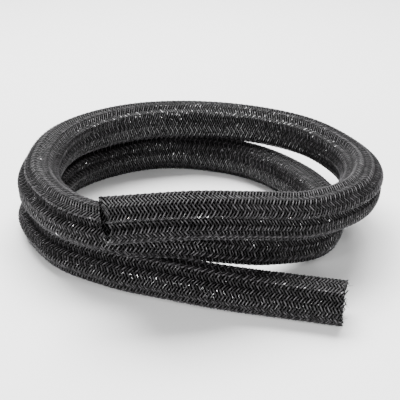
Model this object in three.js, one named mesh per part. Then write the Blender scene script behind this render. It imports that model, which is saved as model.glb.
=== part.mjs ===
// A braided cable sleeve: a wall of black braid, split along its length, with one edge lapped over
// the other, lying in a loose coil on a level floor.
// Millimetres, +Z up. The origin is on the floor, at the middle of the coil's outline.
import * as THREE from 'three';

// The section, with the sleeve closed
const outerDiameter = 29;
const wallThickness = 1.2;
const lapAngle = 90; // degrees of the wall that lie double
const flapEdgeAngle = 33.75; // degrees above level, on the coil's outer side
const lapClearance = 0.5; // between the flap and the edge that is tucked under it
const swellAngle = 90; // degrees in which the wall comes out from under the flap
const flatSides = 16; // in a full round, with one of them on the floor

// The coil, laid by hand: the centreline passes one station after another at equal turns
const startAngle = -124; // degrees from +X to the upper end
const coiledAngle = 795; // degrees from the upper end to the lower one
const stationReach = [
  106, 84, 77, 87, 107, 126, 138, 143, 143, 135, 118, 98, 81,
  65, 58, 63, 81, 96, 111, 133, 150, 145, 126, 100, 79, 72, 84, 133,
]; // from the middle of the coil
const stationLift = [
  1.72, 1.78, 1.54, 1.24, 1.06, 0.92, 0.96, 1, 1.08, 1.12, 1.02, 1.02, 1.04,
  0.98, 0.68, 0.4, 0.14, 0.03, 0, 0, 0, 0, 0, 0, 0, 0, 0, 0,
]; // above lying on the floor, in outer diameters
const middleOfCoil = { x: 1.9, y: -22.9 };
const stepsPerStation = 3;

const degrees = Math.PI / 180;
const outerRadius = outerDiameter / 2;
const sideAngle = 360 / flatSides;
const lyingHeight = outerRadius * Math.cos((sideAngle / 2) * degrees); // of the centreline on the floor

// The centreline's path never dips under lying height, and it keeps the section upright, so that
// the seam stays on the coil's outer side: a section's x is up and its y is away from the middle.
class UprightPath extends THREE.CatmullRomCurve3 {
  getPoint(t, target) {
    const point = super.getPoint(t, target);
    point.z = Math.max(point.z, lyingHeight);
    return point;
  }

  computeFrenetFrames(segments) {
    const frames = { tangents: [], normals: [], binormals: [] };
    for (let i = 0; i <= segments; i++) {
      const tangent = this.getTangentAt(i / segments);
      const upright = new THREE.Vector3(0, 0, 1).addScaledVector(tangent, -tangent.z).normalize();
      frames.tangents.push(tangent);
      frames.normals.push(upright);
      frames.binormals.push(new THREE.Vector3().crossVectors(tangent, upright));
    }
    return frames;
  }
}

function layCoil() {
  const lastStation = stationReach.length - 1;
  const points = stationReach.map((reach, i) => {
    const angle = (startAngle + (coiledAngle * i) / lastStation) * degrees;
    return new THREE.Vector3(
      middleOfCoil.x + reach * Math.cos(angle),
      middleOfCoil.y + reach * Math.sin(angle),
      lyingHeight + stationLift[i] * outerDiameter,
    );
  });
  return new UprightPath(points, false, 'catmullrom');
}

// How far the outside of the wall is from the centreline, at an angle from its tucked edge
function outsideRadius(angle) {
  const tuckedIn = wallThickness + lapClearance;
  return outerRadius - tuckedIn * (1 - THREE.MathUtils.smoothstep(angle, lapAngle, lapAngle + swellAngle));
}

// The wall's section runs from the tucked edge, under the flap and once round, to the flap's edge
function splitSection() {
  const wallAngle = 360 + lapAngle;
  const sides = Math.round(wallAngle / sideAngle);
  const outside = [];
  const inside = [];
  for (let i = 0; i <= sides; i++) {
    const along = (wallAngle * i) / sides;
    const turn = (flapEdgeAngle + lapAngle - along) * degrees;
    const radius = outsideRadius(along);
    outside.push(new THREE.Vector2(Math.sin(turn), Math.cos(turn)).multiplyScalar(radius));
    inside.push(new THREE.Vector2(Math.sin(turn), Math.cos(turn)).multiplyScalar(radius - wallThickness));
  }
  return new THREE.Shape([...outside, ...inside.reverse()]);
}

function braidedSleeve() {
  const geometry = new THREE.ExtrudeGeometry(splitSection(), {
    steps: (stationReach.length - 1) * stepsPerStation,
    extrudePath: layCoil(),
  });
  const braid = new THREE.MeshStandardMaterial({ color: 0x1d1d1f, roughness: 0.6, metalness: 0 });
  const sleeve = new THREE.Mesh(geometry, braid);
  sleeve.name = 'braided_sleeve';
  return sleeve;
}

const part = new THREE.Group();
part.add(braidedSleeve());

export default part;
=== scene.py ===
import math
import random

import bpy
import numpy as np
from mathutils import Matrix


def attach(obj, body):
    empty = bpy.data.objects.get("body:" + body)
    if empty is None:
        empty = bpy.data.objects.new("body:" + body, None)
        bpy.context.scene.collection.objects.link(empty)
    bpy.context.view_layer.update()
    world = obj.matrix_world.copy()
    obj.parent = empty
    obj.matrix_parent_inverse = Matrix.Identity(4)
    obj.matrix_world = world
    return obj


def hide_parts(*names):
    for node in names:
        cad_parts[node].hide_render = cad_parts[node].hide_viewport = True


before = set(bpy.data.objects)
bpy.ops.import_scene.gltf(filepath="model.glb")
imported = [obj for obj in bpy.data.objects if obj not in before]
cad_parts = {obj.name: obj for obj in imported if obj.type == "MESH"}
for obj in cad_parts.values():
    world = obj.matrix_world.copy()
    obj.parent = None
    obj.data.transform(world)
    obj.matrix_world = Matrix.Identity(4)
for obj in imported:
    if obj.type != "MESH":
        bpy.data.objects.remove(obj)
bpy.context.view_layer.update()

# A length of black split braided sleeve in a loose coil. Metres, Z up, origin on the floor.
mm = 0.001
randomSeed = 7


def srgb(hexColour):
    def linear(value):
        return value / 12.92 if value <= 0.04045 else ((value + 0.055) / 1.055) ** 2.4
    channels = [int(hexColour[i:i + 2], 16) / 255 for i in (1, 3, 5)]
    return (*[linear(value) for value in channels], 1.0)


def addNode(tree, kind, settings=None, inputs=None):
    node = tree.nodes.new(kind)
    for name, value in (settings or {}).items():
        setattr(node, name, value)
    for name, value in (inputs or {}).items():
        if isinstance(value, bpy.types.NodeSocket):
            tree.links.new(value, node.inputs[name])
        else:
            node.inputs[name].default_value = value
    return node


def addObject(name, data):
    thing = bpy.data.objects.new(name, data)
    bpy.context.scene.collection.objects.link(thing)
    return thing


# Camera, as the photograph was taken: from in front, looking down a little
view = {
    "target": (1.4, 0.4, 25.5),  # mm
    "distance": 657.5,  # mm
    "tiltDown": 25.3,  # degrees
    "frameWidth": 36.0,  # mm
    "focalLength": 81.2,  # mm
}


def placeCamera():
    tilt = math.radians(view["tiltDown"])
    camera = bpy.data.cameras.new("camera")
    camera.sensor_width = view["frameWidth"]
    camera.lens = view["focalLength"]
    camera.clip_start = 0.01
    seat = addObject("camera", camera)
    seat.location = (
        view["target"][0] * mm,
        (view["target"][1] - view["distance"] * math.cos(tilt)) * mm,
        (view["target"][2] + view["distance"] * math.sin(tilt)) * mm,
    )
    seat.rotation_euler = (math.pi / 2 - tilt, 0, 0)
    bpy.context.scene.camera = seat


# The sleeve's section and the coil that it lies in, as in the part's source. Millimetres and degrees
sleeve = {
    "outerDiameter": 29.0,
    "wallThickness": 1.2,
    "lapAngle": 90.0,  # how much of the wall lies double
    "lapClearance": 0.5,
    "swellAngle": 90.0,  # over which the tucked layer comes out to the full radius
    "flatSides": 16,
    "startAngle": -124.0,
    "coiledAngle": 795.0,
    "stationReach": [
        106, 84, 77, 87, 107, 126, 138, 143, 143, 135, 118, 98, 81,
        65, 58, 63, 81, 96, 111, 133, 150, 145, 126, 100, 79, 72, 84, 133,
    ],
    "stationLift": [  # in outer diameters
        1.72, 1.78, 1.54, 1.24, 1.06, 0.92, 0.96, 1, 1.08, 1.12, 1.02, 1.02, 1.04,
        0.98, 0.68, 0.4, 0.14, 0.03, 0, 0, 0, 0, 0, 0, 0, 0, 0, 0,
    ],
    "middleOfCoil": (1.9, -22.9),
}


# The centreline, and the upright frame that goes along it
def layCoil(perStation=20):
    reach = np.array(sleeve["stationReach"], float)
    lift = np.array(sleeve["stationLift"], float)
    last = len(reach) - 1
    angle = np.radians(sleeve["startAngle"] + sleeve["coiledAngle"] * np.arange(last + 1) / last)
    lying = sleeve["outerDiameter"] / 2 * math.cos(math.pi / sleeve["flatSides"])
    stations = np.stack([
        sleeve["middleOfCoil"][0] + reach * np.cos(angle),
        sleeve["middleOfCoil"][1] + reach * np.sin(angle),
        lying + lift * sleeve["outerDiameter"],
    ], axis=1)
    before = 2 * stations[0] - stations[1]
    after = 2 * stations[-1] - stations[-2]
    padded = np.vstack([before, stations, after])
    points = []
    for i in range(last):
        a, b, c, d = padded[i:i + 4]
        for t in np.arange(perStation) / perStation:
            cubic = 2 * a - 5 * b + 4 * c - d + t * (3 * b - a - 3 * c + d)
            points.append(b + 0.5 * t * (c - a + t * cubic))
    line = np.array(points + [stations[-1]])
    line[:, 2] = np.maximum(line[:, 2], lying)
    return line * mm


route = layCoil()
routeAt = np.concatenate([[0], np.cumsum(np.linalg.norm(np.diff(route, axis=0), axis=1))])
sleeveLength = routeAt[-1]
routeTangent = np.gradient(route, routeAt, axis=0)
routeTangent /= np.linalg.norm(routeTangent, axis=1)[:, None]
routeUp = np.array([0, 0, 1]) - routeTangent * routeTangent[:, 2:3]
routeUp /= np.linalg.norm(routeUp, axis=1)[:, None]
routeOut = np.cross(routeTangent, routeUp)
routeBend = np.gradient(routeTangent, routeAt, axis=0)
wallAngle = 360 + sleeve["lapAngle"]


# What the soft braid does to the wall. Millimetres and degrees, but where it says otherwise
softness = {
    # how full the sleeve is, and how high over level the flap's edge lies, at even steps along it
    "girth": [0.993, 1.052, 1.04, 1.045, 0.975, 0.967, 0.947],
    "flapEdge": [18, 14, 19, 29, 43, 53, 40, 30, 28, 32, 40, 52, 63, 51],
    "flapLift": 0.7,  # how far the flap's edge stands off
    "flapLiftWidth": 14.0,
    "troughDepth": 2.6,  # how far the wall sinks in beside the flap's edge
    "troughPlace": 12.0,
    "troughWidth": 13.0,
    # soft pleats along it: how many round it, how deep, turns they drift along it, first place (radians)
    "pleats": [(6, 0.36, 0.9, 1.4), (10, 0.26, -1.4, 2.1)],
    "pleatsInBends": 1.2,  # how much deeper they are inside a bend
    "fullBend": 16.0,  # 1/m, the bend that deepens them fully
    "waleHeight": 0.24,  # how far the braid's wales stand up or sink, by turns along it
    "waleTurns": 2.5,
    "waleSkew": 0.02,  # radians that this shifts for each degree round the wall
    "pressedFlat": 0.72,  # lowest middle of the wall over the floor
    "upperCut": (1.5, 4.0),  # how short the upper end is cut, and how much more towards the front
}

# The braid: yarns that zigzag from one edge of the wall to the other, each over two and under two
braid = {
    "yarnCount": 56,  # stout and fine ones by turns
    "yarnPitch": 2.2,  # mm along the sleeve from one yarn to the next of the same lean
    "rise": 0.28,  # mm from the wall's middle to a yarn that passes over
    "edgeMargin": 0.3,  # how far short of the wall's edges the yarns turn back, in columns of the weave
    "edgeLoop": 1.2,  # how far the loops on the flap's edge stand out, in rises
    "loopRoll": 15.0,  # degrees that they roll back
    "cutJitter": 0.9,  # mm
    # dipShade is painted shade: how fast a yarn is painted black where it dips under the next
    "dipShade": 1.6,  # how fast a yarn blackens where it dips under the next
    # how much of the fine yarns shines, at even steps along the sleeve, and in the flap's edge loops
    "polish": [-0.03, -0.03, 0.0, 0.22, 0.2, -0.05, 0.0, 0.04, 0.08, 0.25, 0.2, 0.02, 0.15, 0.02],
    "polishInLoops": 0.4,
    # how much less shines where it faces up, and from which upward share of its way out to which
    "dulledOnTop": 0.26,
    "dulledFrom": 0.45,
    "dulledTo": 0.75,
}


def alongRoute(values, at):
    return np.stack([np.interp(at, routeAt, values[:, i]) for i in range(3)], axis=1)


def eased(share):
    return share * share * (3 - 2 * share)


def evenSteps(values, at):
    # a smooth value between entries that stand at even steps along the sleeve
    place = np.clip(at / sleeveLength, 0, 1) * (len(values) - 1)
    low = np.minimum(place.astype(int), len(values) - 2)
    blend = eased(place - low)
    values = np.array(values, float)
    return values[low] * (1 - blend) + values[low + 1] * blend


def wallRadius(turned):
    # from the centreline to the middle of the wall, by the angle from its tucked edge
    swelling = eased(np.clip((turned - sleeve["lapAngle"]) / sleeve["swellAngle"], 0, 1))
    tuckedIn = sleeve["wallThickness"] + sleeve["lapClearance"]
    fromTrough = turned - sleeve["lapAngle"] - softness["troughPlace"]
    trough = softness["troughDepth"] * np.exp(-(fromTrough / softness["troughWidth"]) ** 2)
    toFlapEdge = np.clip((wallAngle - turned) / softness["flapLiftWidth"], 0, 1)
    lifted = softness["flapLift"] * (1 - toFlapEdge) ** 2
    middle = (sleeve["outerDiameter"] - sleeve["wallThickness"]) / 2
    return middle - tuckedIn * (1 - swelling) - trough + lifted


def onSleeve(at, turned, height):
    # places on the wall, and the way out of it, for distances along the sleeve (m), angles from the
    # tucked edge (degrees) and heights over the middle of the wall (mm)
    angle = np.radians(evenSteps(softness["flapEdge"], at) + sleeve["lapAngle"] - turned)
    outward = (alongRoute(routeUp, at) * np.sin(angle)[:, None]
               + alongRoute(routeOut, at) * np.cos(angle)[:, None])
    along = 2 * np.pi * at / sleeveLength
    raised = np.zeros(len(at))
    for count, depth, drift, first in softness["pleats"]:
        raised += depth * np.cos(count * angle + drift * along + first)
    bend = (outward * alongRoute(routeBend, at)).sum(axis=1)
    raised *= 1 + softness["pleatsInBends"] * np.clip(bend / softness["fullBend"], 0, 1)
    wales = braid["yarnCount"] / 4 * 2 * np.pi * turned / wallAngle
    waleSwap = softness["waleTurns"] * along + softness["waleSkew"] * turned
    raised += softness["waleHeight"] * np.cos(wales) * np.cos(waleSwap)
    radius = wallRadius(turned) * evenSteps(softness["girth"], at) + raised + height
    place = alongRoute(route, at) + outward * (radius * mm)[:, None]
    # nothing sinks into the floor: what would is pressed flat against it
    floorHeight = (softness["pressedFlat"] + 0.5 * height) * mm
    place[:, 2] = np.maximum(place[:, 2], floorHeight)
    return place, outward


def cutLine(turned):
    # where the upper end's cut meets the wall, a little askew
    angle = np.radians(softness["flapEdge"][0] + sleeve["lapAngle"] - turned)
    front = -(routeUp[0, 1] * np.sin(angle) + routeOut[0, 1] * np.cos(angle))
    short, askew = softness["upperCut"]
    return (short + askew * front) * mm


# Yarns
# Sections in mm, the turn of a section in degrees, and how unevenly a yarn leans
stoutYarn = {
    "width": 1.4, "thickness": 0.75, "sides": 6, "turn": 0.0, "round": True, "tilt": 0.03,
    "pieces": 3,
}
fineYarn = {
    "width": 1.25, "thickness": 0.6, "sides": 4, "turn": 45.0, "round": False, "tilt": 0.19,
    "pieces": 2,
}


def layYarn(number, tilt, jitter):
    # crossings are counted along the yarn; in each it goes half a pitch along the sleeve
    count = braid["yarnCount"]
    step = braid["yarnPitch"] / 2 * mm
    startPhase = (2 * number) % (2 * count)
    startColumn = min(startPhase, 2 * count - startPhase)
    start = cutLine(startColumn / count * wallAngle)
    low = (start + jitter.uniform(-1, 1) * braid["cutJitter"] * mm) / step
    high = (sleeveLength + jitter.uniform(-1, 1) * braid["cutJitter"] * mm) / step
    inner = np.arange(math.floor(low) + 1, math.ceil(high))
    crossing = np.concatenate([[low], inner, [high]])
    phase = (crossing + 2 * number) % (2 * count)
    leansOut = phase < count
    column = np.where(leansOut, phase, 2 * count - phase)
    weave = np.sqrt(2) * np.cos(np.pi / 2 * (phase - np.where(leansOut, 0.5, 1.5)))
    weave *= np.clip(np.minimum(column, count - column), 0, 1)
    weave = np.maximum(weave, braid["edgeLoop"] * np.clip(2 * (column - count) + 2, 0, 1))
    column = np.clip(column, braid["edgeMargin"], count - braid["edgeMargin"])
    turned = column / count * wallAngle
    at = crossing * step
    place, outward = onSleeve(at, turned, weave * braid["rise"])
    overrun = at - np.clip(at, 0, sleeveLength)
    place += alongRoute(routeTangent, at) * overrun[:, None]
    # the loops on the flap's edge roll back, and are painted lit, free of the painted shade of the other
    # yarns
    inLoop = np.clip(column - (count - 1 - braid["edgeMargin"]), 0, 1)
    rolledBack = onSleeve(at, turned - braid["loopRoll"], weave)[1]
    outward = np.where(inLoop[:, None] > 0.5, rolledBack, outward)
    # painted light and shade for the yarn's colour: black where it dips under, lit where it lies on top
    # and in the flap's edge loops
    height = np.clip((weave + 1) / 2, column - (count - 1), 1)
    outward = outward + np.array([[jitter.gauss(0, tilt) for _ in range(3)] for _ in at])
    facesUp = (outward[:, 2] - braid["dulledFrom"]) / (braid["dulledTo"] - braid["dulledFrom"])
    polish = evenSteps(braid["polish"], at) + braid["polishInLoops"] * inLoop
    polish -= braid["dulledOnTop"] * np.clip(facesUp, 0, 1)
    return place, outward, at, np.clip(height, 0, 1) ** braid["dipShade"], polish


# Loose filaments at both cut ends, in mm. Splay is a share of their length
cutFilaments = {
    "width": 0.16, "thickness": 0.16, "sides": 3, "turn": 0.0, "round": True,
    "perYarn": 4, "length": (0.6, 2.4), "splay": 0.4,
    "rootDepth": 0.6, "rootSpread": 0.5, "points": 4, "lowest": 0.1,
}


def layCutFilaments(place, outward, jitter):
    # loose ends of one yarn, from its last two points outwards
    lines = []
    count = cutFilaments["points"]
    way = place[-1] - place[-2]
    way /= np.linalg.norm(way)
    for _ in range(cutFilaments["perYarn"]):
        length = jitter.uniform(*cutFilaments["length"]) * mm
        aside = np.array([jitter.gauss(0, 1) for _ in range(3)]) * cutFilaments["splay"]
        root = place[-1] - way * cutFilaments["rootDepth"] * mm
        root = root + aside * cutFilaments["rootSpread"] * mm
        t = np.linspace(0, 1, count)[:, None]
        line = root + way * length * t + aside * length * t * t
        line[:, 2] = np.maximum(line[:, 2], cutFilaments["lowest"] * mm)
        ways = np.repeat(outward[-1:], count, axis=0)
        # the loose ends take the painted lit tone all along
        lines.append((line, ways, t[:, 0] * length, np.ones(count), np.zeros(count)))
    return lines


def yarnSweep():
    # sweeps a yarn's section along each line, with its broad side to the wall
    tree = bpy.data.node_groups.new("yarnSweep", "GeometryNodeTree")
    sockets = {"Geometry": "Geometry", "Yarn Width": "Float", "Yarn Thickness": "Float",
               "Profile Turn": "Float", "Sides": "Int", "Round": "Bool", "Finish": "Material"}
    for name, kind in sockets.items():
        tree.interface.new_socket(name, in_out="INPUT", socket_type=f"NodeSocket{kind}")
    tree.interface.new_socket("Geometry", in_out="OUTPUT", socket_type="NodeSocketGeometry")
    given = addNode(tree, "NodeGroupInput").outputs
    outward = addNode(tree, "GeometryNodeInputNamedAttribute", {"data_type": "FLOAT_VECTOR"},
                      {"Name": "outward"})
    lines = addNode(tree, "GeometryNodeMeshToCurve", None, {"Mesh": given["Geometry"]})
    faced = addNode(tree, "GeometryNodeSetCurveNormal", {"mode": "FREE"},
                    {"Curve": lines.outputs["Curve"], "Normal": outward.outputs["Attribute"]})
    ring = addNode(tree, "GeometryNodeCurvePrimitiveCircle", None,
                   {"Resolution": given["Sides"], "Radius": 1.0})
    turn = addNode(tree, "ShaderNodeCombineXYZ", None, {"Z": given["Profile Turn"]})
    turned = addNode(tree, "GeometryNodeTransform", None,
                     {"Geometry": ring.outputs["Curve"], "Rotation": turn.outputs["Vector"]})
    place = addNode(tree, "GeometryNodeInputPosition")
    across = addNode(tree, "ShaderNodeSeparateXYZ", None, {"Vector": place.outputs["Position"]})
    marked = addNode(tree, "GeometryNodeStoreNamedAttribute",
                     {"data_type": "FLOAT", "domain": "POINT"},
                     {"Geometry": turned.outputs["Geometry"], "Name": "across",
                      "Value": across.outputs["X"]})
    halfWidth, halfThickness = [
        addNode(tree, "ShaderNodeMath", {"operation": "MULTIPLY"}, {0: given[name], 1: 0.5})
        for name in ("Yarn Width", "Yarn Thickness")
    ]
    flat = addNode(tree, "ShaderNodeCombineXYZ", None,
                   {"X": halfWidth.outputs[0], "Y": halfThickness.outputs[0], "Z": 1.0})
    section = addNode(tree, "GeometryNodeTransform", None,
                      {"Geometry": marked.outputs["Geometry"], "Scale": flat.outputs["Vector"]})
    swept = addNode(tree, "GeometryNodeCurveToMesh", None,
                    {"Curve": faced.outputs["Curve"],
                     "Profile Curve": section.outputs["Geometry"], "Fill Caps": True})
    smooth = addNode(tree, "GeometryNodeSetShadeSmooth", None,
                     {"Geometry": swept.outputs["Mesh"], "Shade Smooth": given["Round"]})
    real = addNode(tree, "GeometryNodeRealizeInstances", None,
                   {"Geometry": smooth.outputs["Geometry"]})
    finished = addNode(tree, "GeometryNodeSetMaterial", None,
                       {"Geometry": real.outputs["Geometry"], "Material": given["Finish"]})
    addNode(tree, "NodeGroupOutput", None, {"Geometry": finished.outputs["Geometry"]})
    return tree


def setInputs(modifier, values):
    for item in modifier.node_group.interface.items_tree:
        if item.in_out == "INPUT" and item.name in values:
            modifier[item.identifier] = values[item.name]


def sweepLines(name, lines, yarn, tree, finish, jitter):
    # lines are places, ways out, distances along, painted light and shade from the heights in the weave,
    # and polish, point by point
    places, ways, distances, heights, polish = (np.concatenate(parts) for parts in zip(*lines))
    counts = [len(line[0]) for line in lines]
    tones = np.concatenate([np.full(count, jitter.random()) for count in counts])
    steps = np.setdiff1d(np.arange(len(places) - 1), np.cumsum(counts) - 1)
    mesh = bpy.data.meshes.new(name)
    mesh.from_pydata(places, np.stack([steps, steps + 1], axis=1), [])
    attribute = mesh.attributes.new("outward", "FLOAT_VECTOR", "POINT")
    attribute.data.foreach_set("vector", ways.ravel())
    valuesByLabel = {"along": distances, "height": heights, "tone": tones, "polish": polish}
    for label, values in valuesByLabel.items():
        attribute = mesh.attributes.new(label, "FLOAT", "POINT")
        attribute.data.foreach_set("value", values)
    piece = addObject(name, mesh)
    modifier = piece.modifiers.new("sweep", "NODES")
    modifier.node_group = tree
    setInputs(modifier, {"Yarn Width": yarn["width"] * mm, "Yarn Thickness": yarn["thickness"] * mm,
                         "Sides": yarn["sides"], "Profile Turn": math.radians(yarn["turn"]),
                         "Round": yarn["round"], "Finish": finish})
    depsgraph = bpy.context.evaluated_depsgraph_get()
    swept = bpy.data.meshes.new_from_object(piece.evaluated_get(depsgraph))
    piece.modifiers.clear()
    piece.data = swept
    bpy.data.meshes.remove(mesh)
    print(name, sum(len(face.vertices) - 2 for face in swept.polygons), "triangles")
    return piece


# A black sheet deep in the wall, painted shade that stands in for the dark between and under the
# yarns and closes the wall to light, in mm
shadeSheet = {"thickness": 0.2, "depth": 0.25, "setBack": 0.6, "stepsAlong": 420, "stepsRound": 64}


def layShadeSheet(finish):
    around = np.linspace(1, braid["yarnCount"] - 1, shadeSheet["stepsRound"]) / braid["yarnCount"]
    turned = around * wallAngle
    ring = np.concatenate([turned, turned[::-1]])
    half = np.full(len(turned), shadeSheet["thickness"] / 2)
    height = np.concatenate([half, -half]) - shadeSheet["depth"]
    places = []
    first = cutLine(ring) + shadeSheet["setBack"] * mm
    last = sleeveLength - shadeSheet["setBack"] * mm
    for share in np.linspace(0, 1, shadeSheet["stepsAlong"]):
        at = first + (last - first) * share
        place = onSleeve(at, ring, height)[0]
        places.append(place + routeTangent[0] * np.minimum(at, 0)[:, None])
    count = len(ring)
    faces = [tuple(range(count))]
    for i in range(shadeSheet["stepsAlong"] - 1):
        for k in range(count):
            n = (k + 1) % count
            faces.append((i * count + n, i * count + k, (i + 1) * count + k, (i + 1) * count + n))
    end = (shadeSheet["stepsAlong"] - 1) * count
    faces.append(tuple(range(end + count - 1, end - 1, -1)))
    mesh = bpy.data.meshes.new("shadeSheet")
    mesh.from_pydata(np.vstack(places), [], faces)
    mesh.shade_smooth()
    mesh.materials.append(finish)
    print("shadeSheet", sum(len(face) - 2 for face in faces), "triangles")
    return addObject("shadeSheet", mesh)


# Finishes
def newFinish(name, values):
    material = bpy.data.materials.new(name)
    material.use_nodes = True
    shader = material.node_tree.nodes["Principled BSDF"]
    for socket, value in values.items():
        shader.inputs[socket].default_value = value
    return material, material.node_tree, shader


def yarnPattern(tree, given, axes, scale, detail):
    # noise that goes with each yarn: over its width, along it and from yarn to yarn
    place = addNode(tree, "ShaderNodeCombineXYZ", None,
                    {axis: given[name] for axis, name in zip("XYZ", axes)})
    stretched = addNode(tree, "ShaderNodeMapping", None,
                        {"Vector": place.outputs["Vector"], "Scale": scale})
    noise = addNode(tree, "ShaderNodeTexNoise", None,
                    {"Vector": stretched.outputs["Vector"], "Scale": 1.0, "Detail": detail})
    return noise.outputs["Fac"]


# where a yarn's tones lie, from sunk and shaded (0) to on top and lit (1)
tonePlaces = {"under": 0.16, "dark": 0.38, "light": 0.68}


def colourYarn(tree, shader, pattern, height, look):
    # painted shade: black where the yarn dips under the next, through dark to light where it lies on top
    # and is painted lit
    caught = addNode(tree, "ShaderNodeMath", {"operation": "MULTIPLY"}, {0: pattern, 1: height})
    ramp = addNode(tree, "ShaderNodeValToRGB", None, {"Fac": caught.outputs[0]})
    stops = ramp.color_ramp.elements
    stops[0].position, stops[0].color = tonePlaces["under"], srgb(look["under"])
    stops[1].position, stops[1].color = tonePlaces["light"], srgb(look["light"])
    stops.new(tonePlaces["dark"]).color = srgb(look["dark"])
    tree.links.new(ramp.outputs["Color"], shader.inputs["Base Color"])


def multifilamentPolyester():
    # black polyester yarn of many filaments, with painted light and shade: grey where it lies on top
    # and is painted lit, fine lines along it, and painted black shade where it dips under the next yarn
    look = {"under": "#000000", "dark": "#131213", "light": "#545254", "gloss": 0.2}
    material, tree, shader = newFinish("multifilamentPolyester", {
        "Roughness": 0.5, "IOR": 1.57, "Sheen Weight": 0.11, "Sheen Roughness": 0.45,
        "Sheen Tint": srgb("#b9b9bd")})
    given = {name: addNode(tree, "ShaderNodeAttribute", {"attribute_name": name}).outputs["Fac"]
             for name in ("across", "along", "tone", "height")}
    filaments = yarnPattern(tree, given, ("across", "along", "tone"), (3.5, 260, 40), 2.0)
    colourYarn(tree, shader, filaments, given["height"], look)
    gloss = addNode(tree, "ShaderNodeMath", {"operation": "MULTIPLY"},
                    {0: given["height"], 1: look["gloss"]})
    bump = addNode(tree, "ShaderNodeBump", None,
                   {"Height": filaments, "Strength": 0.5, "Distance": 0.15 * mm})
    tree.links.new(gloss.outputs[0], shader.inputs["Specular IOR Level"])
    tree.links.new(bump.outputs["Normal"], shader.inputs["Normal"])
    return material


def monofilamentPolyester():
    # single stout filaments of black polyester with painted shade, black where they dip under the next
    # yarn: scuffed dull, but for spots that stay polished and glint where they lie on top
    look = {"under": "#000000", "dark": "#0b0a0b", "light": "#302e30",
            "polishedFrom": 0.55, "polishedTo": 0.6, "roughness": (0.5, 0.18), "shine": (0.25, 1.0)}
    material, tree, shader = newFinish("monofilamentPolyester", {"IOR": 1.57})
    given = {name: addNode(tree, "ShaderNodeAttribute", {"attribute_name": name}).outputs["Fac"]
             for name in ("along", "tone", "height", "polish")}
    scuffs = yarnPattern(tree, given, ("along", "tone"), (1000, 40, 1), 0.0)
    colourYarn(tree, shader, scuffs, given["height"], look)
    clean = addNode(tree, "ShaderNodeMath", {"operation": "ADD"}, {0: scuffs, 1: given["polish"]})
    roughness, shine = [
        addNode(tree, "ShaderNodeMapRange", None,
                {"Value": clean.outputs[0], "From Min": look["polishedFrom"],
                 "From Max": look["polishedTo"], "To Min": dull, "To Max": polished})
        for dull, polished in (look["roughness"], look["shine"])
    ]
    gloss = addNode(tree, "ShaderNodeMath", {"operation": "MULTIPLY"},
                    {0: given["height"], 1: shine.outputs["Result"]})
    tree.links.new(roughness.outputs["Result"], shader.inputs["Roughness"])
    tree.links.new(gloss.outputs[0], shader.inputs["Specular IOR Level"])
    return material


def grainyFinish(name, look, values):
    # two close tones and a low bump, in grains of one size
    material, tree, shader = newFinish(name, values)
    place = addNode(tree, "ShaderNodeTexCoord")
    grain = addNode(tree, "ShaderNodeTexNoise", None,
                    {"Vector": place.outputs["Object"], "Scale": 1 / (look["grain"] * mm),
                     "Detail": 2.0})
    ramp = addNode(tree, "ShaderNodeValToRGB", None, {"Fac": grain.outputs["Fac"]})
    ramp.color_ramp.elements[0].color = srgb(look["dark"])
    ramp.color_ramp.elements[1].color = srgb(look["light"])
    bump = addNode(tree, "ShaderNodeBump", None,
                   {"Height": grain.outputs["Fac"], "Strength": look["bump"],
                    "Distance": look["bumpDepth"] * mm})
    tree.links.new(ramp.outputs["Color"], shader.inputs["Base Color"])
    tree.links.new(bump.outputs["Normal"], shader.inputs["Normal"])
    return material


def paintedShadeBlack():
    # painted shade: a near-black dull finish for the sheet in the wall, standing in for the shade
    # between and under the yarns
    look = {"dark": "#010101", "light": "#040404", "grain": 0.6, "bump": 0.6, "bumpDepth": 0.1}
    return grainyFinish("paintedShadeBlack", look, {"Roughness": 0.8, "Specular IOR Level": 0.0})


def whitePaper():
    # plain white paper with a faint grain
    look = {"dark": "#eaeaea", "light": "#eeeeee", "grain": 1.2, "bump": 0.3, "bumpDepth": 0.03}
    return grainyFinish("whitePaper", look, {"Roughness": 0.8})


# Floor and light
def layFloor():
    bpy.ops.mesh.primitive_plane_add(size=6)
    floor = bpy.context.object
    floor.name = "floor"
    floor.data.materials.append(whitePaper())


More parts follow.
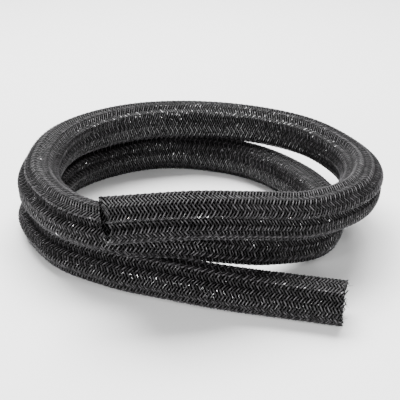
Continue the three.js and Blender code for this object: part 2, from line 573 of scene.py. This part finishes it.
# One wide soft lamp over the coil, and small lamps in front of it, which the polished spots on the
# fine yarns mirror as glints. Metres and watts
studio = {
    "surround": 0.15,
    "aim": (0, 0, 0.03),
    "topPlace": (-0.1, 0.5, 1.15), "topSize": (1.3, 0.9), "topPower": 84,
    "nearPlaces": [(-0.45, -0.6, 0.3), (-0.15, -0.75, 0.14), (0.0, -0.72, 0.5), (0.2, -0.75, 0.22),
                   (0.45, -0.6, 0.4)],
    "nearSize": (0.08, 0.08), "nearPower": 2.2,
}


def addLight(name, place, size, power):
    lamp = bpy.data.lights.new(name, "AREA")
    lamp.shape = "RECTANGLE"
    lamp.size, lamp.size_y = size
    lamp.energy = power
    seat = addObject(name, lamp)
    seat.location = place
    across, away, up = np.array(studio["aim"]) - np.array(place)
    down = math.atan2(-up, math.hypot(across, away))
    seat.rotation_euler = (math.pi / 2 - down, 0, math.atan2(away, across) - math.pi / 2)


def lightStudio():
    world = bpy.data.worlds.new("studio")
    world.use_nodes = True
    background = world.node_tree.nodes["Background"]
    background.inputs["Color"].default_value = srgb("#ffffff")
    background.inputs["Strength"].default_value = studio["surround"]
    bpy.context.scene.world = world
    addLight("softTop", studio["topPlace"], studio["topSize"], studio["topPower"])
    for i, place in enumerate(studio["nearPlaces"]):
        addLight(f"near{i + 1}", place, studio["nearSize"], studio["nearPower"])


placeCamera()
print("camera placed, sleeve", round(sleeveLength, 4), "m long")
sweepTree = yarnSweep()
stout = multifilamentPolyester()
fine = monofilamentPolyester()
jitter = random.Random(randomSeed)
pieces = []
looseEnds = []
for yarn, first, finish, label in ((stoutYarn, 0, stout, "stoutYarns"),
                                   (fineYarn, 1, fine, "fineYarns")):
    numbers = list(range(first, braid["yarnCount"], 2))
    share = math.ceil(len(numbers) / yarn["pieces"])
    for part in range(yarn["pieces"]):
        lines = [layYarn(number, yarn["tilt"], jitter)
                 for number in numbers[part * share:(part + 1) * share]]
        if yarn is stoutYarn:
            for place, outward, *_ in lines:
                looseEnds += layCutFilaments(place, outward, jitter)
                looseEnds += layCutFilaments(place[::-1], outward[::-1], jitter)
        pieces.append(sweepLines(f"{label}_{part + 1}", lines, yarn, sweepTree, finish, jitter))
pieces.append(sweepLines("cutFilaments", looseEnds, cutFilaments, sweepTree, stout, jitter))
pieces.append(layShadeSheet(paintedShadeBlack()))
layFloor()
lightStudio()
print("floor and light set")

for piece in pieces:
    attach(piece, "root")
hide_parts("braided_sleeve")
